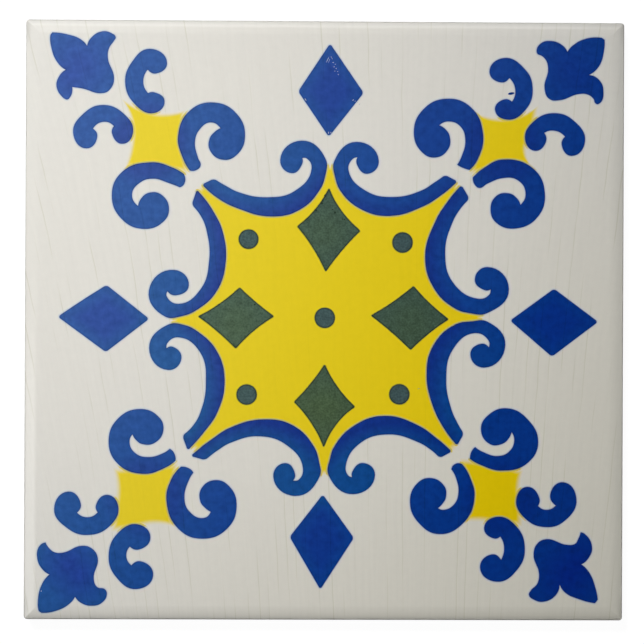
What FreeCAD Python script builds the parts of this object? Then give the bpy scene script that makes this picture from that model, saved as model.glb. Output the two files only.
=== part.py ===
# A square glazed wall tile, pressed in one piece, lying face up on its back.
#
# Units are millimetres. +Z is up and points out of the glazed face. The origin is
# the middle of the back, in the plane of the ribs that the tile rests and beds on.
import FreeCAD, Part
import math
import os

from FreeCAD import Vector

# Overall size: the traditional azulejo module, measured over the widest part of the sides
tile_side = 140.0
tile_thickness = 8.0

# Edges: the sides lean in towards the back so that neighbours close up at the face
side_draft_deg = 1.5
corner_radius = 0.9
back_chamfer = 0.6

# Crown: the pressed face falls away in a soft arc along each edge, then turns over the arris
crown_width = 3.2
crown_drop = 0.7
arris_radius = 0.6

# Back: rows of shallow square pockets between ribs, which key the tile into its bed
key_rows = 6
key_depth = 1.1
rib_width = 4.5
border_width = 9.0
key_wall_draft_deg = 20.0
key_corner_radius = 1.8

# How far a shaping solid reaches past the faces that it shapes
reach = 1.0

half_side = tile_side / 2
side_draft = math.radians(side_draft_deg)


def mirrored(point):
    """The same point on the other side of the section."""
    return Vector(-point.x, point.y, point.z)


def arc_about(centre, start, end):
    """The short arc from start to end about a centre."""
    radius = (start - centre).Length
    middle = ((start - centre).normalize() + (end - centre).normalize()).normalize()
    return Part.Arc(start, centre + middle * radius, end).toShape()


def line(start, end):
    return Part.LineSegment(start, end).toShape()


def crossed(section):
    """What a bar of this XZ section shares with the same bar turned a quarter about Z."""
    length = 2 * (half_side + reach)
    bar = Part.Face(section).extrude(Vector(0, length, 0))
    bar.translate(Vector(0, -length / 2, 0))
    turned = bar.copy()
    turned.rotate(Vector(0, 0, 0), Vector(0, 0, 1), 90)
    return bar.common(turned).Solids[0]


def tapered_block(low_half, low_z, high_half, high_z, radius):
    """A square block with flat leaning sides and round corners."""
    low = Vector(low_half, 0, low_z)
    high = Vector(high_half, 0, high_z)
    outline = [low, high, mirrored(high), mirrored(low), low]
    block = crossed(Part.makePolygon(outline))
    corners = [edge for edge in block.Edges if edge.BoundBox.ZLength > (high_z - low_z) / 2]
    return block.makeFillet(radius, corners)


def edge_points():
    """The points and centres of the tile's edge, from the back up to the flat of the face."""
    crown_radius = (crown_width ** 2 + crown_drop ** 2) / (2 * crown_drop)
    flat_end = Vector(half_side - crown_width, 0, tile_thickness)
    crown_centre = flat_end - Vector(0, 0, crown_radius)
    inner_radius = crown_radius - arris_radius
    inner_run = crown_width - arris_radius
    rise = math.sqrt(inner_radius ** 2 - inner_run ** 2)
    arris_centre = crown_centre + Vector(inner_run, 0, rise)
    arris_top = crown_centre + (arris_centre - crown_centre) * (crown_radius / inner_radius)
    out = Vector(math.cos(side_draft), 0, -math.sin(side_draft))
    side_top = arris_centre + out * arris_radius
    side_foot = Vector(side_half(side_top, back_chamfer), 0, back_chamfer)
    back_end = Vector(side_foot.x - back_chamfer, 0, 0)
    return back_end, side_foot, side_top, arris_centre, arris_top, crown_centre, flat_end


def side_half(side_top, z):
    """Half the width between two leaning sides at height z."""
    return side_top.x - (side_top.z - z) * math.tan(side_draft)


def edge_section():
    """The whole section of the tile: chamfer, side, arris and crown at both ends."""
    back_end, side_foot, side_top, arris_centre, arris_top, crown_centre, flat_end = edge_points()
    half = [
        line(back_end, side_foot),
        line(side_foot, side_top),
        arc_about(arris_centre, side_top, arris_top),
        arc_about(crown_centre, arris_top, flat_end),
    ]
    other = [
        arc_about(mirrored(crown_centre), mirrored(flat_end), mirrored(arris_top)),
        arc_about(mirrored(arris_centre), mirrored(arris_top), mirrored(side_top)),
        line(mirrored(side_top), mirrored(side_foot)),
        line(mirrored(side_foot), mirrored(back_end)),
    ]
    face = line(flat_end, mirrored(flat_end))
    back = line(mirrored(back_end), back_end)
    return Part.Wire(half + [face] + other + [back])


def blank():
    """The pressed slab: its crowns and arrises mitre at the corners, which are rounded in plan."""
    side_top = edge_points()[2]
    low_z = -reach
    high_z = tile_thickness + reach
    rounding = tapered_block(
        side_half(side_top, low_z), low_z, side_half(side_top, high_z), high_z, corner_radius
    )
    return crossed(edge_section()).common(rounding).Solids[0]


def keyed(slab):
    """The slab with its rows of pockets pressed into the back."""
    pitch = (tile_side - 2 * border_width + rib_width) / key_rows
    mouth_half = (pitch - rib_width) / 2
    lean = math.tan(math.radians(key_wall_draft_deg))
    pocket = tapered_block(
        mouth_half + reach * lean, -reach, mouth_half - key_depth * lean, key_depth, key_corner_radius
    )
    first = -pitch * (key_rows - 1) / 2
    pockets = []
    for row in range(key_rows):
        for column in range(key_rows):
            copy = pocket.copy()
            copy.translate(Vector(first + column * pitch, first + row * pitch, 0))
            pockets.append(copy)
    return slab.cut(Part.makeCompound(pockets)).Solids[0]


os.makedirs("parts", exist_ok=True)
tile = keyed(blank())
tile.exportStep("parts/tile.step")
print("tile: valid", tile.isValid(), "faces", len(tile.Faces))
print("volume cm3", round(tile.Volume / 1000, 2), "box", tile.optimalBoundingBox())
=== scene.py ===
import math

import bmesh
import bpy
from mathutils import Matrix, Vector
from mathutils.bvhtree import BVHTree
from mathutils.kdtree import KDTree


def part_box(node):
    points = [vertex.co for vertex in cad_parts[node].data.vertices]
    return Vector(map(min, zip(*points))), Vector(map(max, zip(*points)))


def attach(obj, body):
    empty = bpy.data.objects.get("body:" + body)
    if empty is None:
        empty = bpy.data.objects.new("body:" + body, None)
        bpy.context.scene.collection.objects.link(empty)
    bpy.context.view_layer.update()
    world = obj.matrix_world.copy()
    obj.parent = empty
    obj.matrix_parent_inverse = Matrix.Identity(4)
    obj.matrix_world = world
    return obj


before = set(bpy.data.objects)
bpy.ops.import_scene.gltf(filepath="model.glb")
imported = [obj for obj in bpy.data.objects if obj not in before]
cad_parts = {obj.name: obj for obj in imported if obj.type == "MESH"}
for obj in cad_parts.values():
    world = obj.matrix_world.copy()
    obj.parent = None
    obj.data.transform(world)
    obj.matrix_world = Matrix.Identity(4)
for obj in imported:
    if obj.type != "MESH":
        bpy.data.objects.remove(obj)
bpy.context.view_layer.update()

scene = bpy.context.scene
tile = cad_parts["tile"]
mm = 0.001  # the painted outlines are drawn in millimetres from the middle of the face
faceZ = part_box("tile")[1].z / mm
print("frame loaded, glazed face at", round(faceZ, 3), "mm")


# Small helpers for the shader trees

def feed(tree, socket, value):
    if isinstance(value, bpy.types.NodeSocket):
        tree.links.new(value, socket)
    else:
        socket.default_value = value


def newNode(tree, kind, settings=None, inputs=None):
    made = tree.nodes.new("ShaderNode" + kind)
    for name, value in (settings or {}).items():
        setattr(made, name, value)
    for name, value in (inputs or {}).items():
        feed(tree, made.inputs[name], value)
    return made


def reckon(tree, operation, a, b=0.0, c=0.0):
    made = tree.nodes.new("ShaderNodeMath")
    made.operation = operation
    for socket, value in zip(made.inputs, (a, b, c)):
        feed(tree, socket, value)
    return made.outputs[0]


def blendColor(tree, factor, a, b, how="MIX"):
    made = newNode(tree, "Mix", {"data_type": "RGBA", "blend_type": how})
    feed(tree, made.inputs[0], factor)
    feed(tree, made.inputs[6], a)
    feed(tree, made.inputs[7], b)
    return made.outputs[2]


def tinted(tree, color, amount, tint):
    return blendColor(tree, amount, color, rgba(tint), "MULTIPLY")


def fade(tree, value, start, end):  # 0 at start, 1 at end, soft at both
    made = newNode(tree, "MapRange", {"interpolation_type": "SMOOTHSTEP"},
                   {"Value": value, "From Min": start, "From Max": end})
    return made.outputs["Result"]


def slope(tree, value, start, end, low=0.0, high=1.0):  # straight from low at start to high at end
    made = newNode(tree, "MapRange", None, {
        "Value": value, "From Min": start, "From Max": end, "To Min": low, "To Max": high})
    return made.outputs["Result"]


def noise(tree, vector, scale, detail=2.0):
    made = newNode(tree, "TexNoise", None, {"Vector": vector, "Scale": scale, "Detail": detail})
    return made.outputs["Fac"]


def swing(tree, vector, scale, detail=2.0):  # noise to both sides of zero
    return reckon(tree, "SUBTRACT", noise(tree, vector, scale, detail), 0.5)


def tileCoords(tree):  # Object coordinates in millimetres, whole and split
    place = newNode(tree, "TexCoord").outputs["Object"]
    inMm = newNode(tree, "VectorMath", {"operation": "SCALE"}, {"Vector": place, "Scale": 1 / mm})
    split = newNode(tree, "SeparateXYZ", None, {"Vector": inMm.outputs[0]})
    return inMm.outputs[0], split.outputs["X"], split.outputs["Y"], split.outputs["Z"]


def colorRamp(tree, factor, stops):
    made = newNode(tree, "ValToRGB", None, {"Fac": factor})
    ramp = made.color_ramp
    while len(ramp.elements) < len(stops):
        ramp.elements.new(0.5)
    for element, (at, color) in zip(ramp.elements, stops):
        element.position = at
        element.color = rgba(color)
    return made.outputs["Color"]


def rgba(color):
    return (*color, 1.0)


def newGroup(name, inputs, outputs):
    tree = bpy.data.node_groups.new(name, "ShaderNodeTree")
    for way, sockets in (("INPUT", inputs), ("OUTPUT", outputs)):
        for label, kind in sockets.items():
            tree.interface.new_socket(label, in_out=way, socket_type="NodeSocket" + kind)
    given = tree.nodes.new("NodeGroupInput").outputs
    results = tree.nodes.new("NodeGroupOutput").inputs
    return tree, given, results


def useGroup(tree, group, inputs=None):
    made = tree.nodes.new("ShaderNodeGroup")
    made.node_tree = group
    for name, value in (inputs or {}).items():
        feed(tree, made.inputs[name], value)
    return made.outputs


def newMaterial(name):
    material = bpy.data.materials.new(name)
    material.use_nodes = True
    tree = material.node_tree
    return material, tree, tree.nodes["Principled BSDF"]


def bump(tree, height, depth, under=None):  # depth in millimetres, on top of another bump if there is one
    made = newNode(tree, "Bump", None, {"Height": height, "Distance": depth * mm})
    if under is not None:
        feed(tree, made.inputs["Normal"], under)
    return made.outputs["Normal"]


def fromMiddleOf(tree, place):  # mm from the middle of the back
    return newNode(tree, "VectorMath", {"operation": "LENGTH"}, {0: place}).outputs["Value"]


# The fired skin that the white glaze and every paint share: hair crackle, mottling, slow waves

skin = {
    "crackSpacing": 3.0,  # mm between the hair lines
    "crackRandom": 0.8,  # how uneven that spacing is
    "crackWidth": 0.2,  # mm
    "crackBrown": 0.5,  # how much more of the blue a hair line takes away
    "crackDepth": 0.02,  # as a share of the waves
    "crackLean": (0.05, -0.0025),  # in the middle of the face, and its change for each mm to the right
    "crackWander": 1.2,  # mm
    "wanderScale": 0.06,  # of the noise, for each mm
    "breakScale": (0.2, 0.035, 0.2),  # of the noise that breaks the lines up
    "breakRange": (0.44, 0.64),  # noise values where a line is gone and where it is whole
    "streakSize": (0.9, 22.0),  # mm, across and along
    "mottleSize": 1.6,  # mm
    "mottleDetail": 4.0,
    "waveSize": 14.0,  # mm
    "waveDepth": 0.012,  # mm
}


def firedSkin():
    tree, given, results = newGroup(
        "fired skin", {"Color": "Color", "Crackle": "Float", "Mottle": "Float", "Streaks": "Float"},
        {"Color": "Color", "Height": "Float"})
    place, x, y = tileCoords(tree)[:3]
    lean = reckon(tree, "MULTIPLY_ADD", x, skin["crackLean"][1], skin["crackLean"][0])
    across = reckon(tree, "MULTIPLY_ADD", y, lean, x)
    wander = swing(tree, place, skin["wanderScale"])
    across = reckon(tree, "MULTIPLY_ADD", wander, skin["crackWander"], across)
    cells = newNode(
        tree, "TexVoronoi", {"voronoi_dimensions": "1D", "feature": "DISTANCE_TO_EDGE"},
        {"W": reckon(tree, "DIVIDE", across, skin["crackSpacing"]), "Scale": 1.0,
         "Randomness": skin["crackRandom"]})
    crack = fade(tree, cells.outputs["Distance"], skin["crackWidth"] / skin["crackSpacing"], 0.0)
    longWays = newNode(tree, "Mapping", None, {"Vector": place, "Scale": skin["breakScale"]})
    broken = fade(tree, noise(tree, longWays.outputs[0], 1.0), *skin["breakRange"])
    crack = reckon(tree, "MULTIPLY", crack, broken)
    fine = swing(tree, place, 1 / skin["mottleSize"], skin["mottleDetail"])
    mottle = reckon(tree, "MULTIPLY", fine, given["Mottle"])
    thin = newNode(tree, "CombineXYZ", None, {
        "X": reckon(tree, "DIVIDE", across, skin["streakSize"][0]),
        "Y": reckon(tree, "DIVIDE", y, skin["streakSize"][1])})
    streak = swing(tree, thin.outputs[0], 1.0)
    shade = reckon(tree, "ADD", mottle, 1.0)
    shade = reckon(tree, "MULTIPLY_ADD", streak, given["Streaks"], shade)
    hair = reckon(tree, "MULTIPLY", crack, given["Crackle"])
    shade = reckon(tree, "SUBTRACT", shade, hair)
    blueShade = reckon(tree, "MULTIPLY_ADD", hair, -skin["crackBrown"], shade)
    tone = newNode(tree, "CombineColor", None, {"Red": shade, "Green": shade, "Blue": blueShade})
    feed(tree, results["Color"], blendColor(tree, 1.0, given["Color"], tone.outputs[0], "MULTIPLY"))
    waves = noise(tree, place, 1 / skin["waveSize"], 1.0)
    height = reckon(tree, "SUBTRACT", waves, reckon(tree, "MULTIPLY", crack, skin["crackDepth"]))
    feed(tree, results["Height"], height)
    return tree


# The edge of a brushed or stencilled paint, from the ring values kept on its mesh:
# -1 outside the halo, 0 at the outline, 1 inside the rim and 2 in the core

edgeRings = {  # the ring values between which each part of the edge fades in
    "Halo": (0.0, -0.3),  # the washed out line round the paint
    "Outside": (-0.4, -1.0),  # where that line runs out into the ground
    "Pool": (1.0, 0.1),  # the darker line where the paint pooled
    "Deep": (0.9, 2.0),  # the thicker middle of a broad shape
}


def paintEdge():
    tree, _, results = newGroup("paint edge", {}, {label: "Float" for label in (*edgeRings, "Over")})
    ring = newNode(tree, "Attribute", {"attribute_name": "ring"}).outputs["Fac"]
    for label, between in edgeRings.items():
        feed(tree, results[label], fade(tree, ring, *between))
    over = newNode(tree, "Attribute", {"attribute_name": "over"}).outputs["Fac"]
    feed(tree, results["Over"], over)  # what lies over a yellow wash
    return tree


# Yellow: a wash, warmer to the lower right

yellow = {
    "grade": [(0.0, (0.907, 0.712, 0.042)), (0.5, (0.918, 0.702, 0.018)),
              (1.0, (0.950, 0.695, 0.0005))],
    "gradeFall": (1.0, -0.45),  # the grade runs along this direction of the face
    "gradeReach": (-60.0, 58.0),  # mm
    "roughness": 0.09,
    "crackle": 0.03,
    "mottle": 0.06,
    "streaks": 0.04,
}


def alongFace(tree, x, y, look):  # 0 to 1 along the grade's direction
    run = reckon(tree, "MULTIPLY", x, look["gradeFall"][0])
    run = reckon(tree, "MULTIPLY_ADD", y, look["gradeFall"][1], run)
    return slope(tree, run, *look["gradeReach"])


def yellowTone():
    tree, _, results = newGroup("yellow tone", {}, {"Color": "Color"})
    x, y = tileCoords(tree)[1:3]
    feed(tree, results["Color"], colorRamp(tree, alongFace(tree, x, y, yellow), yellow["grade"]))
    return tree


firedSkinGroup = firedSkin()
paintEdgeGroup = paintEdge()
yellowToneGroup = yellowTone()

# White glaze on the face, over the arris and partly down the sides, bare biscuit below and behind

whiteGlaze = {
    "color": (0.844, 0.820, 0.755),
    "cornerColor": (0.840, 0.820, 0.764),
    "cornerReach": (60.0, 95.0),  # mm from the middle
    "arrisShadeTint": (0.86, 0.86, 0.86),  # painted shade: the glaze darker over the arris at the top and bottom, where the edge turns from the light
    "arrisBelow": (0.2, 0.55),  # mm under the flat of the face
    "arrisReach": (63.0, 68.0),  # mm up and down from the middle
    "roughness": 0.09,
    "warmTint": (1.0, 0.995, 0.935),  # towards the lower right
    "gradeFall": (1.0, -1.0),
    "gradeReach": (-10.0, 130.0),  # mm
    "crackle": 0.12,
    "mottle": 0.05,
    "streaks": 0.06,
    "runsDownTo": 4.6,  # mm above the back
    "runsFade": 0.25,  # mm
    "runsUneven": 2.4,  # mm
    "runsScale": 0.12,  # of the noise, for each mm
    "runsDetail": 3.0,
    "lineColor": (0.62, 0.52, 0.40),  # of the line where the glaze ends
    "lineReach": (0.7, 0.1),  # mm above that end
    "lineAmount": 0.6,
}
biscuit = {
    "color": (0.80, 0.70, 0.57),
    "darkColor": (0.66, 0.54, 0.41),
    "blotchScale": 0.09,  # of the noise, for each mm
    "blotchDetail": 3.0,
    "pitRange": (0.62, 0.75),  # grain values where a dark pit starts and where it is darkest
    "roughness": 0.86,
    "grainSize": 0.7,  # mm
    "grainDetail": 5.0,
    "grainDepth": 0.06,  # mm
}


def skinAmounts(look):
    return {"Crackle": look["crackle"], "Mottle": look["mottle"], "Streaks": look["streaks"]}


def glazedBody(glaze, body):
    material, tree, shader = newMaterial("white_glaze")
    place, x, y, z = tileCoords(tree)
    toCorner = fade(tree, fromMiddleOf(tree, place), *glaze["cornerReach"])
    white = blendColor(tree, toCorner, rgba(glaze["color"]), rgba(glaze["cornerColor"]))
    lowRight = alongFace(tree, x, y, glaze)
    white = tinted(tree, white, lowRight, glaze["warmTint"])
    # Painted shade: the arris at the top and bottom is darkened in the colour
    fallen = fade(tree, z, *(faceZ - below for below in glaze["arrisBelow"]))
    upOrDown = fade(tree, reckon(tree, "ABSOLUTE", y), *glaze["arrisReach"])
    arris = reckon(tree, "MULTIPLY", fallen, upOrDown)
    white = tinted(tree, white, arris, glaze["arrisShadeTint"])
    glazed = useGroup(tree, firedSkinGroup, {"Color": white, **skinAmounts(glaze)})
    grain = noise(tree, place, 1 / body["grainSize"], body["grainDetail"])
    blotch = noise(tree, place, body["blotchScale"], body["blotchDetail"])
    clay = blendColor(tree, blotch, rgba(body["darkColor"]), rgba(body["color"]))
    clay = blendColor(tree, fade(tree, grain, *body["pitRange"]), clay, rgba(body["darkColor"]))
    run = swing(tree, place, glaze["runsScale"], glaze["runsDetail"])
    edge = reckon(tree, "MULTIPLY_ADD", run, glaze["runsUneven"], z)
    end = glaze["runsDownTo"]
    cover = fade(tree, edge, end, end + glaze["runsFade"])
    line = fade(tree, edge, *(end + above for above in glaze["lineReach"]))
    line = reckon(tree, "MULTIPLY", reckon(tree, "MULTIPLY", cover, line), glaze["lineAmount"])
    skinColor = blendColor(tree, line, glazed["Color"], rgba(glaze["lineColor"]))
    feed(tree, shader.inputs["Base Color"], blendColor(tree, cover, clay, skinColor))
    rough = slope(tree, cover, 0.0, 1.0, body["roughness"], glaze["roughness"])
    feed(tree, shader.inputs["Roughness"], rough)
    bare = reckon(tree, "SUBTRACT", 1.0, cover)
    waves = bump(tree, glazed["Height"], skin["waveDepth"])
    grainBump = bump(tree, reckon(tree, "MULTIPLY", grain, bare), body["grainDepth"], waves)
    feed(tree, shader.inputs["Normal"], grainBump)
    return material


# Blue: paler towards the upper left and darker to the lower right, deeper where it was laid over the yellow

blue = {
    "grade": [(0.0, (0.051, 0.126, 0.390)), (0.2, (0.040, 0.115, 0.367)), (0.35, (0.027, 0.092, 0.346)),
              (0.5, (0.014, 0.065, 0.325)), (0.65, (0.0066, 0.054, 0.309)), (0.78, (0.0012, 0.043, 0.295)),
              (1.0, (0.0, 0.036, 0.285))],
    "gradeFall": (1.0, -0.45),
    "gradeReach": (-85.0, 85.0),
    "lowTint": (0.65, 1.0, 1.0),  # colder towards the bottom
    "lowReach": (-15.0, -60.0),  # mm
    "overTint": (1.0, 0.68, 0.88),  # over the yellow
    "starReach": (46.0, 42.0),  # mm from the middle to the outside of the star scrolls
    "starPale": (1.1, 1.4),  # green share on their white side, upper half and bottom
    "starPaleReach": (0.0, -27.0),  # mm, from the one to the other
    # spots in mm, in one eighth of the face
    "starArc": {"middle": (15.6, 43.2), "reach": (15.2, 19.2)},
    "squareSpot": {"middle": (40.8, 41.8), "reach": (10.5, 6.5), "amount": 0.75},
    "lilyHeart": {"middle": (57.3, 59.4), "reach": (8.0, 1.0),
                  "amount": (0.45, 1.0), "fall": (60.0, -60.0)},  # more in the lower ones
    "heartTint": (0.98, 0.64, 0.97),
    "deepTint": (0.98, 0.80, 0.99),  # in the thicker middle of a broad shape
    "pool": (0.008, 0.030, 0.16),
    "poolAmount": 0.35,
    "poolOver": 0.7,  # where it pooled against the yellow
    "halo": (0.66, 0.72, 0.76),
    "haloOnYellow": (0.60, 0.56, 0.22),
    "roughness": 0.08,
    "crackle": 0.12,
    "mottle": 0.7,
    "streaks": 0.18,
}


def nearSpot(tree, x, y, spot):
    # 0 to 1 over the spot's reach; every eighth of the face folds onto the one right of the upper y axis
    sides = [reckon(tree, "ABSOLUTE", side) for side in (x, y)]
    squares = []
    for operation, middle in zip(("MINIMUM", "MAXIMUM"), spot["middle"]):
        away = reckon(tree, "SUBTRACT", reckon(tree, operation, *sides), middle)
        squares.append(reckon(tree, "MULTIPLY", away, away))
    return slope(tree, reckon(tree, "SQRT", reckon(tree, "ADD", *squares)), *spot["reach"])


def firedFinish(tree, shader, given, look):
    fired = useGroup(tree, firedSkinGroup, given)
    feed(tree, shader.inputs["Base Color"], fired["Color"])
    shader.inputs["Roughness"].default_value = look["roughness"]
    feed(tree, shader.inputs["Normal"], bump(tree, fired["Height"], skin["waveDepth"]))


def finishPaint(tree, shader, color, look):
    edge = useGroup(tree, paintEdgeGroup)
    if "deepTint" in look:
        color = tinted(tree, color, edge["Deep"], look["deepTint"])
    pooled = slope(tree, edge["Over"], 0.0, 1.0, look["poolAmount"], look["poolOver"])
    color = blendColor(tree, reckon(tree, "MULTIPLY", edge["Pool"], pooled), color, rgba(look["pool"]))
    onWhite = blendColor(tree, edge["Outside"], rgba(look["halo"]), rgba(whiteGlaze["color"]))
    tone = useGroup(tree, yellowToneGroup)["Color"]
    onYellow = blendColor(tree, edge["Outside"], rgba(look["haloOnYellow"]), tone)
    color = blendColor(tree, edge["Halo"], color, blendColor(tree, edge["Over"], onWhite, onYellow))
    given = {"Color": color, **skinAmounts(look)}
    for label, kind in (("Mottle", "mottle"), ("Streaks", "streaks")):  # the glaze's own outside the paint
        change = whiteGlaze[kind] - look[kind]
        given[label] = reckon(tree, "MULTIPLY_ADD", edge["Halo"], change, look[kind])
    firedFinish(tree, shader, given, look)


def bluePaint():
    material, tree, shader = newMaterial("blue_glaze")
    place, x, y = tileCoords(tree)[:3]
    color = colorRamp(tree, alongFace(tree, x, y, blue), blue["grade"])
    color = tinted(tree, color, slope(tree, y, *blue["lowReach"]), blue["lowTint"])
    pale = newNode(tree, "CombineColor", None, {
        "Red": 1.0, "Green": slope(tree, y, *blue["starPaleReach"], *blue["starPale"]), "Blue": 1.0})
    overStar = nearSpot(tree, x, y, blue["starArc"])
    starTint = blendColor(tree, overStar, pale.outputs[0], rgba(blue["overTint"]))
    onStar = fade(tree, fromMiddleOf(tree, place), *blue["starReach"])
    color = blendColor(tree, onStar, color, starTint, "MULTIPLY")
    square = blue["squareSpot"]
    overSquare = reckon(tree, "MULTIPLY", nearSpot(tree, x, y, square), square["amount"])
    color = tinted(tree, color, overSquare, blue["overTint"])
    heart = blue["lilyHeart"]
    lower = slope(tree, y, *heart["fall"], *heart["amount"])
    inHeart = reckon(tree, "MULTIPLY", nearSpot(tree, x, y, heart), lower)
    color = tinted(tree, color, inHeart, blue["heartTint"])
    finishPaint(tree, shader, color, blue)
    return material


# Green diamonds and dots, a thinner paint with a speckle in it

green = {
    "grade": [(0.0, (0.080, 0.134, 0.104)), (1.0, (0.055, 0.100, 0.079))],
    "gradeFall": (1.0, -0.05),
    "gradeReach": (-22.0, 22.0),
    "pool": (0.012, 0.022, 0.012),
    "poolAmount": 0.7,
    "poolOver": 0.7,
    "lowTint": (1.06, 1.03, 0.78),
    "lowReach": (5.0, -20.0),  # mm
    "heart": {"middle": (0.3, 20.4), "reach": (9.0, 2.0)},  # mm, in one eighth of the face
    "heartTint": (1.06, 1.03, 0.86),  # more olive in the middle of a diamond
    "halo": (0.66, 0.72, 0.66),
    "haloOnYellow": (0.62, 0.51, 0.035),
    "roughness": 0.1,
    "crackle": 0.03,
    "mottle": 0.8,
    "grain": 0.9,
    "grainSize": 0.45,  # mm
    "streaks": 0.1,
}
dotGreen = {**green, "lowTint": (1.0, 1.0, 1.0), "heartTint": (1.0, 1.0, 1.0),
            "grade": [(0.0, (0.070, 0.120, 0.118)), (1.0, (0.058, 0.100, 0.104))]}


def greenPaint(name, look):
    material, tree, shader = newMaterial(name)
    place, x, y = tileCoords(tree)[:3]
    color = colorRamp(tree, alongFace(tree, x, y, look), look["grade"])
    color = tinted(tree, color, slope(tree, y, *look["lowReach"]), look["lowTint"])
    color = tinted(tree, color, nearSpot(tree, x, y, look["heart"]), look["heartTint"])
    grain = noise(tree, place, 1 / look["grainSize"], 1.0)
    speck = slope(tree, grain, 0.0, 1.0, 1 - look["grain"] / 2, 1 + look["grain"] / 2)
    tone = newNode(tree, "CombineColor", None, {"Red": speck, "Green": speck, "Blue": speck}).outputs[0]
    color = blendColor(tree, 1.0, color, tone, "MULTIPLY")
    finishPaint(tree, shader, color, look)
    return material


# The yellow has a soft edge that runs out into the white

def yellowWash():
    material, tree, shader = newMaterial("yellow_glaze")
    ring = newNode(tree, "Attribute", {"attribute_name": "ring"}).outputs["Fac"]
    tone = useGroup(tree, yellowToneGroup)["Color"]
    color = blendColor(tree, fade(tree, ring, 0.0, 1.0), rgba(whiteGlaze["color"]), tone)
    firedFinish(tree, shader, {"Color": color, **skinAmounts(yellow)}, yellow)
    return material


tile.data.materials.clear()
paints = {
    "white_glaze": glazedBody(whiteGlaze, biscuit),
    "blue_glaze": bluePaint(),
    "green_glaze": greenPaint("green_glaze", green),
    "green_dot_glaze": greenPaint("green_dot_glaze", dotGreen),
    "yellow_glaze": yellowWash(),
}
tile.data.materials.append(paints["white_glaze"])
print("materials made:", ", ".join(paints))


# Painted outlines: smooth points take automatic handles
# A third value of 1 makes a sharp corner, 2 a blunt one and 3 one that is only just blunt

quarters = {"topLeft": (1, 1), "topRight": (-1, 1), "bottomLeft": (1, -1), "bottomRight": (-1, -1)}


def laidOut(home, quarter, way, nudgeX, nudgeY, turn, size):
    # a copy is drawn in the top left quarter, beside the top edge; sideways puts it beside the left edge
    drawn = Matrix.Translation((home[0] + nudgeX, home[1] + nudgeY, 0.0))
    drawn = drawn @ Matrix.Rotation(math.radians(turn), 4, "Z") @ Matrix.Scale(size, 4)
    if way == "sideways":
        swap = Matrix(((0, -1, 0, 0), (-1, 0, 0, 0), (0, 0, 1, 0), (0, 0, 0, 1)))
        drawn = swap @ drawn
    signX, signY = quarters[quarter]
    return Matrix.Diagonal((signX, signY, 1, 1)) @ drawn


bluntCuts = {2: 0.8, 3: 0.35}  # mm taken from each side of a blunt corner


def bluntCorners(points):
    made = []
    for index, point in enumerate(points):
        if len(point) < 3 or point[2] == 1:
            made.append(point)
            continue
        corner = Vector(point[:2])
        before = Vector(points[index - 1][:2])
        after = Vector(points[(index + 1) % len(points)][:2])
        cut = bluntCuts[point[2]]
        start = corner + (before - corner).normalized() * cut
        end = corner + (after - corner).normalized() * cut
        made += [(*start, 1), tuple((start + corner * 2 + end) / 4), (*end, 1)]
    return made


def cornerHandle(corner, beside, beyond):  # straight to another corner, bent towards a smooth point
    here, near, far = (Vector(point[:2]) for point in (corner, beside, beyond))
    if len(beside) > 2:
        return here.lerp(near, 1 / 3)
    heading = ((near - here).normalized() + (far - near).normalized()).normalized()
    return here.lerp(near - heading * (near - here).length / 2, 2 / 3)


def flatCurve(points, steps):
    curve = bpy.data.curves.new("outline", "CURVE")
    curve.dimensions = "2D"
    curve.fill_mode = "NONE"
    curve.resolution_u = steps
    spline = curve.splines.new("BEZIER")
    spline.bezier_points.add(len(points) - 1)
    spline.use_cyclic_u = True
    count = len(points)
    for index, (knot, point) in enumerate(zip(spline.bezier_points, points)):
        knot.co = (point[0], point[1], 0.0)
        kind = "FREE" if len(point) > 2 else "AUTO"
        knot.handle_left_type = kind
        knot.handle_right_type = kind
        if kind == "FREE":
            left = cornerHandle(point, points[index - 1], points[index - 2])
            right = cornerHandle(point, points[(index + 1) % count], points[(index + 2) % count])
            knot.handle_left = (*left, 0.0)
            knot.handle_right = (*right, 0.0)
    holder = bpy.data.objects.new("outline", curve)
    mesh = bpy.data.meshes.new_from_object(holder)
    bpy.data.objects.remove(holder)
    bpy.data.curves.remove(curve)
    return mesh


# A film of paint, in mm: a halo round the outline, a rounded rim inside it, and an underside in the glaze

blueFilm = {
    "steps": 8,  # pieces of the curve between two points
    "merge": 0.12,  # points of an outline that are nearer than this become one
    "weld": 0.004,  # and so do points of the finished film
    "halo": 0.5,  # widths
    "rim": 0.3,
    "skirt": 0.008,  # heights above the face: outside the halo, at the outline, and on top
    "edge": 0.018,
    "top": 0.035,
    "sunk": 0.02,  # depth of the underside
    "topRing": 1.0,  # ring value on top
}
broadFilm = {**blueFilm, "core": 0.4}  # share of the shape that is thicker paint
greenFilm = {**blueFilm, "rim": 0.42, "halo": 0.28, "top": 0.03}
starFilm = {**blueFilm, "steps": 6, "halo": 0.0, "shrink": 0.955, "edge": 0.002, "top": 0.01}
squareFilm = {**starFilm, "steps": 5, "shrink": 0.76}
fleckFilm = {**blueFilm, "steps": 3, "merge": 0.015, "halo": 0.0, "rim": 0.03, "edge": 0.036, "top": 0.038,
             "topRing": 0.05}
# painted glints and pale flecks take the pale blue of the halo all over
glintAndPaleFleckFilm = {**fleckFilm, "topRing": -0.3}
keptShare = 0.95  # of a ring's width, by which a point of it has to clear every point of the outline


def outlineFace(bm, points, matrix, film):
    mesh = flatCurve(bluntCorners(points), film["steps"])
    known = set(bm.verts)
    bm.from_mesh(mesh)
    bpy.data.meshes.remove(mesh)
    fresh = [vert for vert in bm.verts if vert not in known]
    bmesh.ops.transform(bm, matrix=matrix, verts=fresh)
    bmesh.ops.remove_doubles(bm, verts=fresh, dist=film["merge"])
    edges = dict.fromkeys(edge for vert in fresh if vert.is_valid for edge in vert.link_edges)
    face = bmesh.ops.contextual_create(bm, geom=list(edges))["faces"][0]
    if face.normal.z < 0:
        face.normal_flip()
    return face


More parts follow.
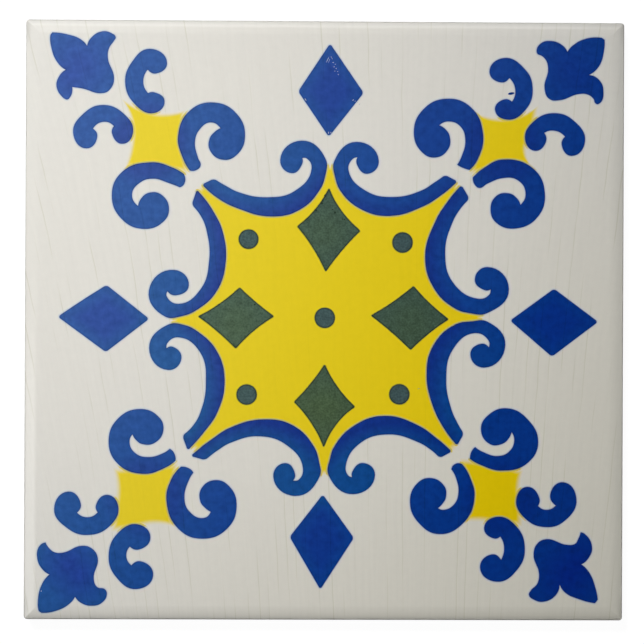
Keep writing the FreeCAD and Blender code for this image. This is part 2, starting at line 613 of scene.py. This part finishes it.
def stepOut(bm, edges, outer, z):  # one more ring of faces round a boundary
    made = bmesh.ops.extrude_edge_only(bm, edges=edges)["geom"]
    verts = [item for item in made if isinstance(item, bmesh.types.BMVert)]
    for vert in verts:
        for edge in vert.link_edges:
            root = edge.other_vert(vert)
            if root in outer:
                vert.co = outer[root]
        vert.co.z = z
    loop = [item for item in made if isinstance(item, bmesh.types.BMEdge)]
    return verts, loop


def mended(moved, roots, gap):  # points that came too near another stretch close up on their neighbours
    drawn = KDTree(len(roots))
    for index, root in enumerate(roots):
        drawn.insert((root.x, root.y, 0.0), index)
    drawn.balance()
    sound = [drawn.find((point.x, point.y, 0.0))[2] > keptShare * gap for point in moved]
    if not any(sound):
        return moved
    count = len(moved)
    made = []
    for index, point in enumerate(moved):
        if not sound[index]:
            before = next(moved[index - step] for step in range(count) if sound[index - step])
            onwards = [(index + step) % count for step in range(count)]
            after = next(moved[turn] for turn in onwards if sound[turn])
            point = (before + after) / 2
        made.append(point)
    return made


def shrunk(bm, face, share):  # an inner face of the same shape, scaled about its middle
    middle = face.calc_center_bounds()
    bmesh.ops.inset_region(bm, faces=[face], thickness=0.0, use_boundary=True)
    bmesh.ops.scale(bm, vec=(share, share, 1.0), space=Matrix.Translation(-middle), verts=face.verts)


def filmOver(bm, ring, face, film):
    # the halo round the outline, down into the glaze to close it, then the rounded edge and the top
    halo = film["halo"]
    moved = []
    for loop in face.loops:
        along = loop.link_loop_next.vert.co - loop.link_loop_prev.vert.co
        moved.append(loop.vert.co + Vector((along.y, -along.x, 0.0)).normalized() * halo)
        loop.vert.co.z = faceZ + film["edge"]
        loop.vert[ring] = 0.0
    roots = [vert.co.copy() for vert in face.verts]
    edges = list(face.edges)
    if halo:
        outer = dict(zip(face.verts, mended(moved, roots, halo)))
        verts, edges = stepOut(bm, edges, outer, faceZ + film["skirt"])
        for vert in verts:
            vert[ring] = -1.0
    edges = stepOut(bm, edges, {}, faceZ - film["sunk"])[1]
    bmesh.ops.contextual_create(bm, geom=edges)
    if "shrink" in film:  # a wash fades in towards its middle
        shrunk(bm, face, film["shrink"])
    else:
        bmesh.ops.inset_region(bm, faces=[face], thickness=film["rim"],
                               use_boundary=True, use_even_offset=False)
        inner = [vert.co.copy() for vert in face.verts]
        for vert, point in zip(face.verts, mended(inner, roots, film["rim"])):
            vert.co = point
    for vert in face.verts:
        vert.co.z = faceZ + film["top"]
        vert[ring] = film["topRing"]
    if "core" in film:
        shrunk(bm, face, film["core"])
        for vert in face.verts:
            vert[ring] = 2.0


tileTree = BVHTree.FromObject(tile, bpy.context.evaluated_depsgraph_get())
crown = {"flat": 0.0005, "deepest": 0.6, "cut": 0.0001}  # mm under the face, and how near counts as on a cut
downwards = Vector((0, 0, -1))
washes = []  # the yellow, which other paint is laid over


def widthsAbove(fall):
    return [vert.co.x / mm for vert in tile.data.vertices if vert.co.z > (faceZ - fall) * mm]


flatHalf = max(widthsAbove(crown["flat"]))


def highOver(vert):
    return Vector((vert.co.x, vert.co.y, 2 * faceZ))


def overCrown(bm):  # what reaches past the flat of the face follows the crown down
    if max(max(abs(vert.co.x), abs(vert.co.y)) for vert in bm.verts) <= flatHalf:
        return
    facets = {round(abs(width), 2) for width in widthsAbove(crown["deepest"])}
    for facet in sorted(value for value in facets if value >= flatHalf):
        for normal in ((1, 0, 0), (-1, 0, 0), (0, 1, 0), (0, -1, 0)):
            bmesh.ops.bisect_plane(bm, geom=bm.verts[:] + bm.edges[:] + bm.faces[:], dist=crown["cut"],
                                   plane_co=Vector(normal) * facet, plane_no=normal)
    for vert in bm.verts:
        if max(abs(vert.co.x), abs(vert.co.y)) > flatHalf:
            hit = tileTree.ray_cast(highOver(vert) * mm, downwards)[0]
            vert.co.z += hit.z / mm - faceZ


def overWash(vert):
    hits = [wash.ray_cast(highOver(vert), downwards)[0] for wash in washes]
    return 1.0 if any(hits) else 0.0


def placed(name, bm, material):
    mesh = bpy.data.meshes.new(name)
    bm.to_mesh(mesh)
    bm.free()
    mesh.materials.append(material)
    made = bpy.data.objects.new(name, mesh)
    scene.collection.objects.link(made)
    return made


def layPaint(name, slot, outlines, film, paint=None):
    bm = bmesh.new()
    ring = bm.verts.layers.float.new("ring")
    over = bm.verts.layers.float.new("over")
    for points, matrix in outlines:
        face = outlineFace(bm, points, matrix, film)
        filmOver(bm, ring, face, film)
    if "shrink" in film:
        washes.append(BVHTree.FromBMesh(bm))
    for vert in bm.verts:
        vert[over] = overWash(vert)
    bmesh.ops.remove_doubles(bm, verts=bm.verts[:], dist=film["weld"])
    bmesh.ops.triangulate(bm, faces=[face for face in bm.faces if len(face.verts) > 4])
    overCrown(bm)
    bmesh.ops.recalc_face_normals(bm, faces=bm.faces[:])
    bmesh.ops.scale(bm, vec=(mm, mm, mm), verts=bm.verts[:])
    byPlace = sorted(bm.faces, key=lambda face: tuple(face.calc_center_median()))
    ranks = {face: rank for rank, face in enumerate(byPlace)}
    bm.faces.sort(key=ranks.get)  # extruding leaves them in no fixed order
    piece = placed(name, bm, paints[paint or slot])
    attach(piece, "root")
    print("painted", name, "with", len(outlines), "outlines,", len(piece.data.polygons), "faces")


def copies(motif):  # each copy was painted by hand, so some of its points are redrawn
    made = []
    for *place, redrawn in motif["places"]:
        points = list(motif["outline"])
        for index, point in redrawn.items():
            points[index] = point
        made.append((points, laidOut(motif["home"], *place)))
    return made


asDrawn = Matrix.Identity(4)

# Scrolls that edge the star, two beside each green diamond

starScrolls = {
    "home": (-11.5, 31.4),
    "outline": [(-18.7, -0.4, 2), (-15.9, 1.25, 2), (-13.1, -0.85), (-10.2, -2.1), (-3.3, -3.55),
                (3.3, -1.95), (7.15, 3.4), (6.1, 6.0), (4.65, 6.45, 1), (4.95, 4.6), (2.6, 2.5),
                (-0.15, 5.6), (4.9, 10.15), (10.6, 5.75), (10.5, 2.1), (9.15, -1.5), (4.38, -6.17),
                (-2.3, -7.8), (-10.1, -5.95), (-14.6, -3.75)],
    # the middle of the stroke, which the star runs under
    "middle": [(8.6, 4.4), (7.4, -0.4), (3.6, -3.9), (-2.8, -5.6), (-10.0, -4.0), (-16.0, -0.8)],
    "places": [
        ("topLeft", "upright", 1.1, 0.55, 0.0, 0.985,
         {1: (-15.95, 1.0, 2), 2: (-13.1, -0.65), 4: (-3.3, -3.33), 5: (3.2, -1.85), 6: (7.3, 3.5),
          7: (6.2, 5.95), 8: (5.0, 6.1, 1), 16: (4.45, -6.2)}),
        ("topRight", "upright", -1.05, 0.65, -3.0, 0.98,
         {2: (-13.05, -0.52), 4: (-3.3, -3.4), 5: (3.15, -1.68), 7: (6.2, 6.05), 8: (4.8, 6.55, 1),
          13: (10.4, 5.8), 14: (10.4, 2.2), 15: (9.15, -1.45), 16: (4.3, -6.05), 19: (-14.6, -3.5)}),
        ("topRight", "sideways", -1.0, 0.6, -0.5, 1.06,
         {0: (-18.2, -0.35, 2), 1: (-15.3, 1.45, 2), 2: (-13.0, -0.5), 4: (-3.3, -3.75), 6: (6.85, 3.65),
          8: (4.7, 6.5, 1), 9: (4.8, 4.9), 10: (2.6, 2.95), 12: (4.6, 10.45), 13: (10.0, 5.6),
          14: (10.05, 2.2), 15: (9.0, -1.4), 16: (4.4, -6.2), 17: (-2.3, -8.1), 19: (-14.6, -3.22)}),
        ("topLeft", "sideways", 0.5, -0.65, 4.0, 0.985,
         {0: (-19.7, 0.6, 2), 1: (-16.2, 1.52, 2), 2: (-13.1, -1.1), 3: (-10.2, -2.42), 5: (3.9, -1.95),
          6: (7.65, 3.0), 7: (6.2, 5.85), 8: (4.75, 5.85, 1), 9: (5.6, 3.7), 10: (3.1, 0.9),
          11: (-0.3, 4.6), 13: (10.8, 5.95), 14: (10.45, 2.1), 15: (8.6, -1.55), 16: (3.9, -5.8),
          17: (-3.2, -7.4), 18: (-10.1, -6.2), 19: (-14.6, -3.78)}),
        ("bottomRight", "sideways", 1.1, 0.45, 1.0, 1.015,
         {0: (-18.45, -0.5, 2), 1: (-15.75, 1.0, 2), 2: (-13.1, -0.6), 3: (-10.2, -1.95), 4: (-3.3, -3.3),
          5: (3.62, -1.95), 6: (7.55, 3.0), 7: (6.0, 6.25), 8: (4.25, 6.45, 1), 9: (5.05, 4.5),
          10: (2.6, 2.2), 11: (-0.35, 5.4), 13: (10.2, 5.9), 14: (10.2, 2.3), 15: (9.3, -1.6),
          16: (4.5, -6.38), 19: (-14.6, -3.5)}),
        ("bottomLeft", "sideways", -0.15, -0.3, -1.0, 0.98,
         {0: (-19.2, 0.45, 2), 1: (-15.85, 1.75, 2), 3: (-10.2, -2.35), 5: (4.2, -2.0), 6: (7.7, 3.2),
          7: (6.4, 5.8), 8: (4.9, 6.1, 1), 9: (5.3, 4.5), 14: (10.6, 2.1), 15: (9.0, -1.4),
          16: (4.3, -6.05), 17: (-2.4, -7.9), 18: (-10.1, -6.3), 19: (-14.6, -3.4)}),
        ("bottomRight", "upright", -0.2, -0.9, 0.0, 0.99,
         {0: (-18.3, 0.0, 2), 1: (-15.55, 1.5, 2), 2: (-13.1, -0.6), 3: (-10.2, -2.25), 4: (-3.3, -4.0),
          6: (6.75, 3.4), 7: (6.2, 5.75), 8: (5.2, 6.2, 1), 9: (5.1, 4.8), 10: (2.7, 2.85),
          13: (10.75, 5.7), 16: (4.3, -6.25), 17: (-2.3, -8.3), 18: (-10.1, -6.2), 19: (-14.6, -3.15)}),
        ("bottomLeft", "upright", -0.25, -0.45, -0.5, 0.995,
         {0: (-19.5, 0.65, 2), 1: (-16.2, 1.6, 2), 2: (-13.1, -0.75), 3: (-10.2, -2.42), 4: (-3.3, -3.9),
          5: (3.15, -1.7), 6: (6.8, 3.5), 7: (5.85, 6.35), 8: (4.4, 6.6, 1), 9: (4.85, 4.9),
          15: (9.3, -1.45), 16: (4.45, -6.35), 19: (-14.6, -3.18)}),
    ],
}

# Comma scrolls, one on each inner side of the yellow squares

commaScrolls = {
    "home": (-28.4, 43.5),
    "outline": [(-4.5, -9.1, 1), (-6.25, -6.4), (-7.65, -1.4), (-5.3, 5.0), (0.3, 7.15), (5.6, 4.85),
                (7.85, -0.2), (6.2, -4.7), (3.1, -6.05), (-0.1, -4.2), (-0.45, -1.4), (0.5, 0.35),
                (1.95, 1.4, 1), (-0.3, 2.15), (-2.9, 0.65), (-3.8, -2.3), (-2.85, -6.0), (-1.8, -7.85, 1),
                (-2.7, -8.7)],
    "places": [
        ("topLeft", "upright", 1.75, 0.15, -3.5, 0.995,
         {2: (-7.75, -1.2), 9: (0.0, -4.2), 10: (-0.35, -1.4), 11: (0.65, 0.2), 12: (2.1, 1.25, 1),
          13: (-0.45, 2.5), 17: (-2.1, -7.7), 18: (-2.8, -8.75)}),
        ("topRight", "upright", -0.35, 1.1, -2.0, 1.03,
         {1: (-6.55, -6.5), 2: (-7.8, -1.2), 9: (0.2, -4.2), 10: (-0.2, -1.4), 11: (0.7, 0.22),
          12: (2.15, 1.2, 1), 13: (-0.3, 2.05), 18: (-2.75, -8.45)}),
        ("topLeft", "sideways", -0.75, -0.9, 1.0, 1.01,
         {0: (-5.0, -9.3, 1), 1: (-6.5, -6.4), 2: (-7.5, -1.8), 3: (-5.1, 4.95), 11: (0.75, 0.25),
          12: (2.7, 1.05, 1), 13: (-0.1, 2.55), 17: (-1.95, -8.5, 1), 18: (-2.9, -9.5)}),
        ("topRight", "sideways", -1.45, 0.8, 5.5, 1.03,
         {1: (-6.6, -6.1), 2: (-7.95, -2.0), 3: (-5.2, 4.8), 4: (0.4, 6.85), 8: (3.2, -5.75),
          9: (0.2, -4.2), 10: (-0.2, -1.4), 11: (0.9, 0.25), 12: (2.7, 1.1, 1), 13: (-0.1, 2.55),
          14: (-3.1, 0.9), 17: (-2.05, -7.8)}),
        ("bottomLeft", "sideways", -0.05, -0.05, -0.5, 0.96,
         {1: (-6.4, -6.3), 2: (-7.8, -1.2), 10: (-0.6, -1.1), 11: (0.4, 0.5), 12: (1.8, 1.4, 1),
          17: (-1.7, -7.7, 1)}),
        ("bottomRight", "sideways", 0.45, -0.6, 0.5, 0.96,
         {1: (-6.0, -6.4), 2: (-7.3, -1.0), 4: (-0.3, 7.45), 5: (5.3, 4.75), 8: (2.8, -6.5),
          9: (-0.8, -4.4), 10: (-0.8, -1.4), 11: (0.42, 0.12), 12: (2.2, 0.95, 1), 13: (0.0, 1.65),
          14: (-2.65, 0.45), 17: (-1.7, -7.9, 1)}),
        ("bottomLeft", "upright", -0.25, 0.3, -0.5, 1.045,
         {1: (-6.65, -6.35), 2: (-7.75, -1.6), 3: (-5.0, 4.85), 4: (0.3, 6.95), 9: (0.1, -4.3),
          10: (-0.2, -1.4), 11: (0.9, 0.1), 12: (2.15, 0.95, 1), 13: (0.4, 2.4), 17: (-1.8, -7.8, 1)}),
        ("bottomRight", "upright", 0.65, -0.85, 0.0, 0.97,
         {0: (-4.6, -9.5, 1), 1: (-6.6, -6.2), 3: (-5.0, 4.7), 4: (0.8, 7.4), 9: (-0.3, -4.2),
          10: (-0.75, -1.5), 11: (0.1, 0.1), 12: (1.2, 1.15, 1), 13: (-0.3, 1.6), 14: (-2.75, 0.3),
          16: (-3.2, -6.2), 17: (-2.1, -8.2, 1), 18: (-2.9, -9.4)}),
    ],
}

# Small scrolls like a letter C, one on each outer side of the yellow squares

cornerScrolls = {
    "home": (-43.8, 54.3),
    "outline": [(-4.85, -0.3), (-3.2, 4.2), (1.5, 6.95), (5.15, 3.9), (2.6, 1.15), (0.6, 2.2, 1),
                (-0.8, -0.45), (0.1, -3.0, 1), (2.0, -2.6), (4.2, -5.1), (1.5, -7.5), (-3.0, -5.35)],
    "places": [
        ("topLeft", "upright", 1.75, 1.65, 2.5, 0.985,
         {2: (1.2, 7.3), 4: (2.6, 1.5), 5: (0.55, 2.5, 1), 6: (-0.65, -0.35), 7: (0.4, -3.2, 1),
          8: (1.9, -3.05), 10: (1.7, -7.85)}),
        ("topRight", "upright", 0.2, 0.4, -2.5, 0.99,
         {2: (1.8, 7.0), 4: (2.6, 1.35), 5: (0.5, 2.35, 1), 6: (-0.8, -0.7), 7: (0.15, -3.4, 1),
          8: (2.05, -2.8)}),
        ("topLeft", "sideways", -1.35, -1.95, -2.0, 0.95,
         {0: (-5.1, -0.35), 3: (5.35, 3.9), 6: (-1.05, -0.5), 7: (0.1, -3.15, 1), 9: (4.5, -5.1),
          10: (1.7, -7.65)}),
        ("topRight", "sideways", -0.1, -0.25, -1.5, 0.97,
         {0: (-4.95, -0.4), 4: (2.6, 1.4), 7: (-0.2, -3.0, 1), 8: (2.1, -2.55)}),
        ("bottomLeft", "sideways", -1.55, 1.35, 1.5, 1.015,
         {2: (1.3, 7.15), 4: (2.4, 1.1), 5: (0.3, 2.05, 1), 6: (-0.85, -0.5), 7: (0.25, -2.85, 1),
          8: (2.0, -2.5)}),
        ("bottomRight", "sideways", 0.6, -1.9, 0.5, 0.985,
         {0: (-5.0, -0.2), 1: (-3.4, 4.1), 2: (1.8, 6.75), 3: (5.65, 3.6), 4: (2.9, 0.6), 5: (0.1, 1.95, 1),
          6: (-0.95, -0.4), 7: (0.0, -2.4, 1), 8: (1.9, -2.1), 9: (4.45, -5.0)}),
        ("bottomLeft", "upright", -1.35, 1.3, 1.0, 1.04,
         {4: (2.5, 0.8), 5: (0.25, 1.75, 1), 6: (-0.95, -0.35), 7: (-0.2, -2.6, 1), 8: (1.9, -1.95),
          9: (4.35, -4.7)}),
        ("bottomRight", "upright", 1.85, -0.65, 0.5, 1.045,
         {4: (2.6, 0.9), 5: (0.45, 2.15, 1), 6: (-0.25, -0.7), 7: (0.6, -3.2, 1), 8: (2.05, -2.75)}),
    ],
}

# Lilies in the corners

cornerLilies = {
    "home": (-57.6, 59.4),
    "outline": [(-7.45, 6.8, 1), (-6.8, 7.3, 1), (-2.95, 6.95), (-0.15, 5.6), (1.1, 4.2, 1), (2.4, 5.8),
                (5.1, 6.9), (7.3, 6.45), (8.4, 4.9), (7.9, 4.0), (6.3, 2.65), (5.9, 0.6), (6.95, -4.15),
                (5.95, -6.6), (3.8, -7.3), (-0.9, -5.95), (-2.85, -6.1), (-3.7, -7.1), (-4.5, -8.5, 1),
                (-5.6, -8.0), (-6.75, -5.2), (-5.8, -2.65), (-4.2, -1.3, 1), (-6.05, 0.6), (-7.4, 4.4)],
    "places": [
        ("topLeft", "upright", 0.95, 0.45, 5.0, 0.98,
         {0: (-7.25, 7.2, 1), 1: (-6.7, 7.8, 1), 4: (1.25, 3.85, 1), 6: (5.1, 7.08), 8: (8.15, 5.45),
          9: (7.75, 4.8), 10: (6.3, 2.9), 14: (4.2, -7.5), 16: (-3.15, -5.45, 1), 17: (-3.35, -7.0),
          18: (-4.35, -8.6, 2), 19: (-5.4, -7.9), 21: (-6.0, -2.8), 24: (-7.25, 4.4)}),
        ("topRight", "upright", -0.4, -0.4, -3.0, 1.0,
         {0: (-7.6, 6.6, 1), 1: (-6.95, 7.1, 1), 4: (1.23, 4.15, 1), 8: (8.4, 4.7), 9: (8.1, 3.95, 1),
          10: (6.5, 2.8), 14: (3.6, -7.0), 15: (-0.95, -5.75), 16: (-3.0, -5.95), 17: (-4.35, -7.0),
          18: (-4.8, -8.1), 19: (-5.5, -8.3), 22: (-3.5, -1.45, 1)}),
        ("bottomLeft", "upright", -1.9, 1.05, -5.0, 1.02,
         {6: (5.1, 6.65), 7: (7.1, 6.1), 8: (8.35, 4.3), 9: (8.0, 3.2), 10: (6.3, 2.55), 11: (5.65, 0.6),
          13: (5.75, -6.4), 14: (3.55, -7.15), 16: (-2.7, -6.2), 17: (-3.75, -7.05), 18: (-4.65, -8.6, 1),
          19: (-6.05, -7.9)}),
        ("bottomRight", "upright", 1.3, -1.1, 3.0, 1.0,
         {0: (-7.5, 7.2, 1), 1: (-6.8, 7.95, 1), 2: (-2.95, 6.75), 3: (0.15, 5.0), 4: (1.3, 2.8, 1),
          5: (2.1, 5.4), 6: (5.1, 7.0), 7: (7.45, 6.4), 8: (8.5, 5.3), 9: (8.0, 4.25), 10: (6.45, 2.8),
          14: (3.85, -7.5), 17: (-3.65, -7.15), 18: (-4.3, -8.7, 1), 19: (-5.2, -8.3), 22: (-4.0, -1.25, 1),
          23: (-5.75, 0.65), 24: (-7.1, 4.4)}),
    ],
}

# Diamonds, by their tips and the middles of hollow sides; the brush left the tips blunt

blueDiamonds = [
    [(0.95, 64.65, 2), (-6.4, 53.5, 2), (0.75, 43.0, 2), (8.8, 53.25, 2)],
    [(-51.0, 8.0, 2), (-57.1, 4.1), (-62.25, 0.6, 2), (-51.1, -7.55, 2), (-41.1, 0.2, 2)],
    [(53.65, 7.6, 2), (47.9, 3.4), (43.45, 0.15, 2), (53.2, -8.2, 2), (63.95, -0.05, 2)],
    [(-0.3, -40.75, 2), (-7.95, -50.6, 2), (-0.8, -62.8, 2), (6.95, -50.8, 2)],
]
greenDiamonds = [
    [(0.85, 30.9, 3), (-2.25, 26.1), (-6.55, 21.95, 3), (-3.0, 17.15), (0.15, 11.4, 3), (4.25, 16.75),
     (8.2, 20.95, 3), (3.35, 26.25)],
    [(20.75, 8.1, 3), (15.4, 4.05), (10.8, 1.2, 3), (15.4, -2.5), (20.1, -6.8, 3), (24.6, -2.75),
     (28.95, 0.4, 3), (24.5, 4.15)],
    [(-19.9, 7.6, 3), (-25.1, 3.45), (-29.6, 0.8, 3), (-25.6, -2.25), (-20.8, -6.65, 3), (-16.5, -2.4),
     (-11.9, 0.9, 3), (-16.2, 4.25)],
    [(0.0, -10.3, 3), (-3.45, -15.0), (-7.1, -19.05, 3), (-2.85, -24.3), (-0.15, -29.6, 3), (3.12, -23.85),
     (7.1, -20.15, 3), (3.0, -15.5)],
]
greenDots = [  # middle and radius
    (-17.9, 18.9, 2.28), (18.1, 18.3, 2.38), (0.0, 0.6, 2.36), (17.5, -17.2, 2.36), (-18.2, -17.4, 2.36),
]


# Yellow: squares that run under the scrolls beside them, and the star

yellowSquares = [
    [(-48.0, 51.9, 1), (-43.2, 49.45), (-39.4, 48.5), (-32.5, 49.2, 1), (-32.6, 43.0), (-31.7, 33.8, 1),
     (-40.4, 34.6), (-47.2, 35.0, 1), (-45.9, 39.6), (-45.7, 46.4)],
    [(34.2, 49.4, 1), (38.6, 47.9), (44.4, 48.1), (50.1, 50.8, 1), (48.9, 44.8), (47.2, 40.0),
     (49.0, 35.5, 1), (42.6, 35.5), (33.5, 33.9, 1), (34.6, 43.0)],
    [(-49.5, -34.5, 1), (-42.2, -34.0), (-33.8, -33.0, 1), (-34.8, -42.0), (-34.9, -48.5, 1),
     (-39.6, -48.0), (-44.4, -48.9), (-49.9, -49.8, 1), (-49.4, -44.9), (-48.8, -39.6)],
    [(31.5, -31.8, 1), (39.6, -32.8), (46.9, -34.7, 1), (46.2, -38.8), (46.7, -43.2), (46.7, -48.3, 1),
     (41.0, -47.9), (36.8, -47.2), (32.9, -47.3, 1), (32.6, -40.2)],
]
# Round the star from the top: a scroll's quarter and way, whether it is met at its tail, the tip before it
starRound = [
    ("topLeft", "upright", False, (1.0, 36.6)),
    ("topLeft", "sideways", True, (-29.9, 31.1)),
    ("bottomLeft", "sideways", False, (-35.9, 0.0)),
    ("bottomLeft", "upright", True, (-31.1, -30.4)),
    ("bottomRight", "upright", False, (-0.2, -36.4)),
    ("bottomRight", "sideways", True, (30.6, -30.4)),
    ("topRight", "sideways", False, (37.1, 0.8)),
    ("topRight", "upright", True, (31.2, 32.3)),
]


def starOutline():
    points = []
    laid = {place[:2]: place for place in starScrolls["places"]}
    for quarter, way, fromTail, tip in starRound:
        matrix = laidOut(starScrolls["home"], *laid[quarter, way][:-1])
        stroke = [matrix @ Vector((x, y, 0.0)) for x, y in starScrolls["middle"]]
        if fromTail:
            stroke.reverse()
        points.append(tip)
        points += [(point.x, point.y) for point in stroke]
    return points


circle = [(1.0, 0.0), (0.0, 1.0), (-1.0, 0.0), (0.0, -1.0)]


def ovals(listed):
    made = []
    for x, y, length, width, turn in listed:
        matrix = Matrix.Translation((x, y, 0.0)) @ Matrix.Rotation(math.radians(turn), 4, "Z")
        made.append((circle, matrix @ Matrix.Diagonal((length / 2, width / 2, 1.0, 1.0))))
    return made


def dotOutlines():
    return ovals((x, y, 2 * radius, 2 * radius, 0) for x, y, radius in greenDots)


def asListed(shapes):
    return [(points, asDrawn) for points in shapes]


layPaint("yellow_star", "yellow_glaze", [(starOutline(), asDrawn)], starFilm)
layPaint("yellow_squares", "yellow_glaze", asListed(yellowSquares), squareFilm)
layPaint("green_diamonds", "green_glaze", asListed(greenDiamonds), greenFilm)
layPaint("green_dots", "green_glaze", dotOutlines(), greenFilm, "green_dot_glaze")
layPaint("blue_diamonds", "blue_glaze", asListed(blueDiamonds), broadFilm)
layPaint("star_scrolls", "blue_glaze", copies(starScrolls), blueFilm)
layPaint("comma_scrolls", "blue_glaze", copies(commaScrolls), blueFilm)
layPaint("corner_scrolls", "blue_glaze", copies(cornerScrolls), blueFilm)
layPaint("corner_lilies", "blue_glaze", copies(cornerLilies), blueFilm)

# Painted glints on the top diamond, and flecks that were fired in: place, length, width and turn of each

# painted glints: pale marks for the shine off the raised paint of the top diamond, and two pale specks
# elsewhere
glintsAndPaleFlecks = [
    (0.4, 60.95, 1.7, 0.13, 64), (0.75, 60.7, 1.1, 0.11, 68), (1.35, 61.4, 0.9, 0.13, -56),
    (1.7, 60.3, 0.3, 0.16, 20), (2.2, 59.9, 0.25, 0.16, 0), (1.9, 59.3, 0.3, 0.15, 60),
    (2.4, 58.9, 0.35, 0.15, -80), (2.1, 58.3, 0.25, 0.15, 0), (2.75, 58.2, 0.25, 0.14, 30),
    (2.9, 57.5, 0.3, 0.13, -70), (-4.75, 51.6, 0.7, 0.16, -56), (6.4, 51.55, 0.4, 0.16, 51),
    (6.9, 51.3, 0.3, 0.15, 10), (7.4, 51.0, 0.35, 0.15, 51), (7.9, 50.6, 0.3, 0.14, 40),
    (0.7, 43.9, 0.5, 0.15, 80), (1.25, 43.9, 0.45, 0.14, -75), (22.0, -15.85, 0.4, 0.2, 0),
    (-65.9, -63.4, 0.3, 0.18, 30),
]
darkFlecks = [
    (0.0, 29.2, 0.7, 0.5, 60), (-0.6, 28.0, 0.55, 0.45, 70), (-0.8, 27.4, 0.6, 0.5, 0),
    (-2.1, 25.7, 0.5, 0.4, 45), (2.26, 25.2, 0.5, 0.4, 40), (1.7, 25.9, 0.4, 0.3, 0),
    (4.05, 23.7, 0.45, 0.35, 0), (4.5, 23.6, 0.35, 0.3, 60), (-16.4, 3.65, 0.45, 0.4, 0),
]
blueFlecks = [(43.4, 53.3, 1.55, 0.58, 10)]

layPaint("glints_and_pale_flecks", "blue_glaze", ovals(glintsAndPaleFlecks), glintAndPaleFleckFilm)
layPaint("dark_flecks", "green_glaze", ovals(darkFlecks), fleckFilm)
layPaint("blue_flecks", "blue_glaze", ovals(blueFlecks), fleckFilm)

# Floor: a wide pale sweep that turns up far behind whatever side is looked at

sweep = {
    # radius and height in metres
    "profile": [(0.0, 0.0), (2.0, 0.0), (2.6, 0.15), (3.0, 0.6), (3.2, 1.6), (3.2, 3.0)],
    "steps": 72,
    "weld": 0.0001,
    "color": (0.10, 0.10, 0.10),
    "glow": 0.975,  # as the camera sees it
    "glossShare": 0.5,  # of that in the glaze
}


def floorSweep():
    bm = bmesh.new()
    verts = [bm.verts.new((radius, 0.0, height)) for radius, height in sweep["profile"]]
    edges = [bm.edges.new(pair) for pair in zip(verts, verts[1:])]
    bmesh.ops.spin(bm, geom=verts + edges, axis=(0, 0, 1), cent=(0, 0, 0), angle=math.tau,
                   steps=sweep["steps"], use_merge=True)
    bmesh.ops.remove_doubles(bm, verts=bm.verts[:], dist=sweep["weld"])
    bmesh.ops.recalc_face_normals(bm, faces=bm.faces[:])
    innermost = min(bm.faces, key=lambda face: face.calc_center_median().length)
    if innermost.normal.z < 0:
        bmesh.ops.reverse_faces(bm, faces=bm.faces[:])
    material, tree, shader = newMaterial("pale_floor")
    tree.nodes.remove(shader)
    path = newNode(tree, "LightPath").outputs
    glossy = reckon(tree, "MULTIPLY", path["Is Glossy Ray"], sweep["glossShare"])
    seen = reckon(tree, "MAXIMUM", path["Is Camera Ray"], glossy)
    seen = reckon(tree, "MAXIMUM", seen, path["Is Transmission Ray"])
    paper = newNode(tree, "BsdfDiffuse", None, {"Color": rgba(sweep["color"])})
    glow = newNode(tree, "Emission", None, {"Strength": reckon(tree, "MULTIPLY", seen, sweep["glow"])})
    both = newNode(tree, "AddShader", None, {0: paper.outputs[0], 1: glow.outputs[0]})
    feed(tree, tree.nodes["Material Output"].inputs["Surface"], both.outputs[0])
    floor = placed("floor", bm, material)
    floor.data.shade_smooth()


floorSweep()

# Light: a dim room and a soft box with a grid, high at the upper left, so the face dims to the lower right
# Two white cards shine in the glaze of the left and top crowns alone

lamp = {
    "place": (-0.274, 0.432, 1.011),
    "aim": (-0.085, 0.043, 0.008),
    "size": 0.24,
    "spread": 36.2,  # degrees
    "watts": 0.535,
}
whiteCards = [
    {"place": (-0.93, -0.18, 1.5), "aim": (-0.07, -0.04, 0.008),
     "width": 0.8, "height": 0.34, "watts": 1.75},
    {"place": (0.0, 1.25, 1.5), "aim": (0.0, 0.07, 0.008), "width": 0.5, "height": 0.3, "watts": 1.0},
]
room = {"color": (1.0, 1.0, 1.0), "strength": 0.04}


def aimed(place, aim, roll=0.0):  # looks from place to aim with +Y up in the picture
    back = (Vector(place) - Vector(aim)).normalized()
    right = Vector((0, 1, 0)).cross(back).normalized()
    turned = Matrix((right, back.cross(right), back)).transposed().to_4x4()
    return Matrix.Translation(place) @ turned @ Matrix.Rotation(math.radians(roll), 4, "Z")


def setUp(name, data, matrix):
    holder = bpy.data.objects.new(name, data)
    holder.matrix_world = matrix
    scene.collection.objects.link(holder)
    return holder


def softBox():
    light = bpy.data.lights.new("soft_box", "AREA")
    light.shape = "DISK"
    light.size = lamp["size"]
    light.energy = lamp["watts"]
    light.spread = math.radians(lamp["spread"])
    setUp("soft_box", light, aimed(lamp["place"], lamp["aim"]))


def whiteCard(card):
    light = bpy.data.lights.new("white_card", "AREA")
    light.shape = "RECTANGLE"
    light.size = card["width"]
    light.size_y = card["height"]
    light.energy = card["watts"]
    holder = setUp("white_card", light, aimed(card["place"], card["aim"]))
    holder.visible_diffuse = False


softBox()
for card in whiteCards:
    whiteCard(card)
world = bpy.data.worlds.new("room")
world.use_nodes = True
background = world.node_tree.nodes["Background"].inputs
background["Color"].default_value = rgba(room["color"])
background["Strength"].default_value = room["strength"]
scene.world = world

# Camera: nearly straight above, a little to the left, the tile turned a quarter of a degree in the frame

camera = {
    "place": (-0.0305, -0.0042, 1.008),
    "aim": (-0.00066, -0.00037, 0.008),
    "lens": 239.3,  # mm
    "sensor": 36.0,  # mm
    "roll": 0.244,  # degrees
}


def overheadCamera():
    data = bpy.data.cameras.new("overhead")
    data.lens = camera["lens"]
    data.sensor_width = camera["sensor"]
    scene.camera = setUp("overhead", data, aimed(camera["place"], camera["aim"], camera["roll"]))


overheadCamera()
scene.view_settings.view_transform = "Standard"
print("floor, light and camera set")
